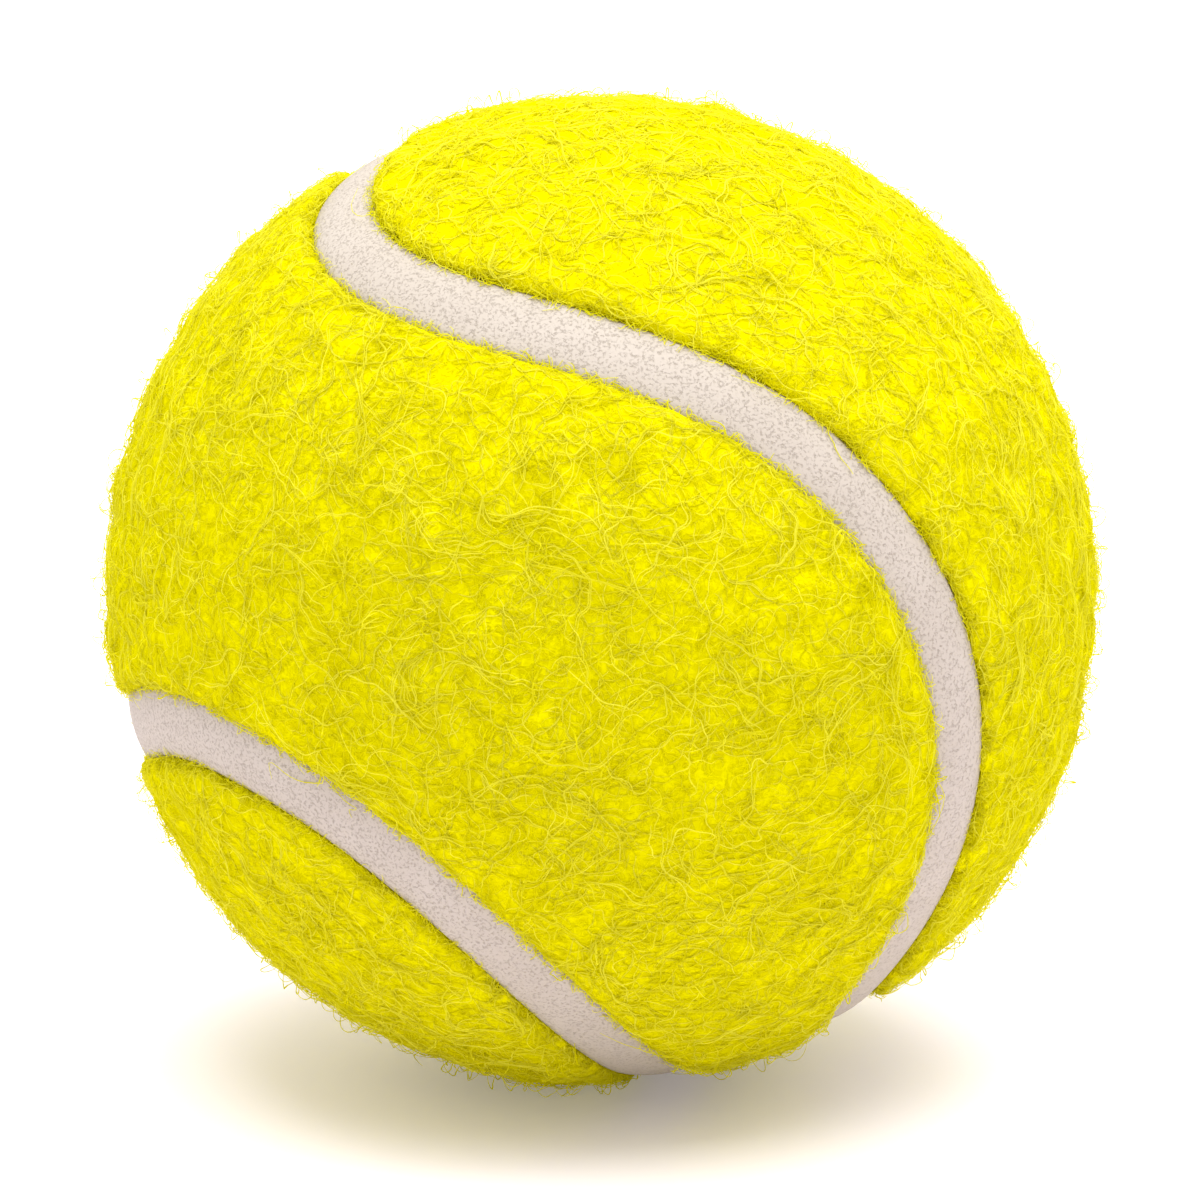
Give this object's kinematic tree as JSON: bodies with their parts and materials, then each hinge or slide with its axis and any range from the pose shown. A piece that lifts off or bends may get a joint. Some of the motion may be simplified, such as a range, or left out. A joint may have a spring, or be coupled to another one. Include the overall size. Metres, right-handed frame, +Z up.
{
  "type": "tennis ball",
  "caption": "Hollow rubber ball covered with interlocking dog-bone panels of optic yellow felt and a pale closed seam, for playing tennis.",
  "frame": {"origin": "the centre of the ball", "axes": "+Z up as the ball lies in the picture, -Y out of the front towards the viewer, +X to the viewer's right"},
  "size_m": [0.067, 0.067, 0.067],
  "materials": {
    "core_rubber": "matt, as moulded and buffed",
    "rubber_cement": "dried rubber cement, slightly tacky",
    "panel_cement": "dried rubber cement on the felt's back",
    "felt": "needled wool and nylon felt with a raised nap",
    "seam_rubber": "matt, finely pitted"
  },
  "bodies": {
    "root": {"upper_core_half": "core_rubber", "lower_core_half": "core_rubber", "core_bond": "rubber_cement", "core_coat": "rubber_cement", "crown_backing": "panel_cement", "front_backing": "panel_cement", "crown_felt_panel": "felt", "front_felt_panel": "felt", "seam_band": "seam_rubber"}
  },
  "joints": []
}
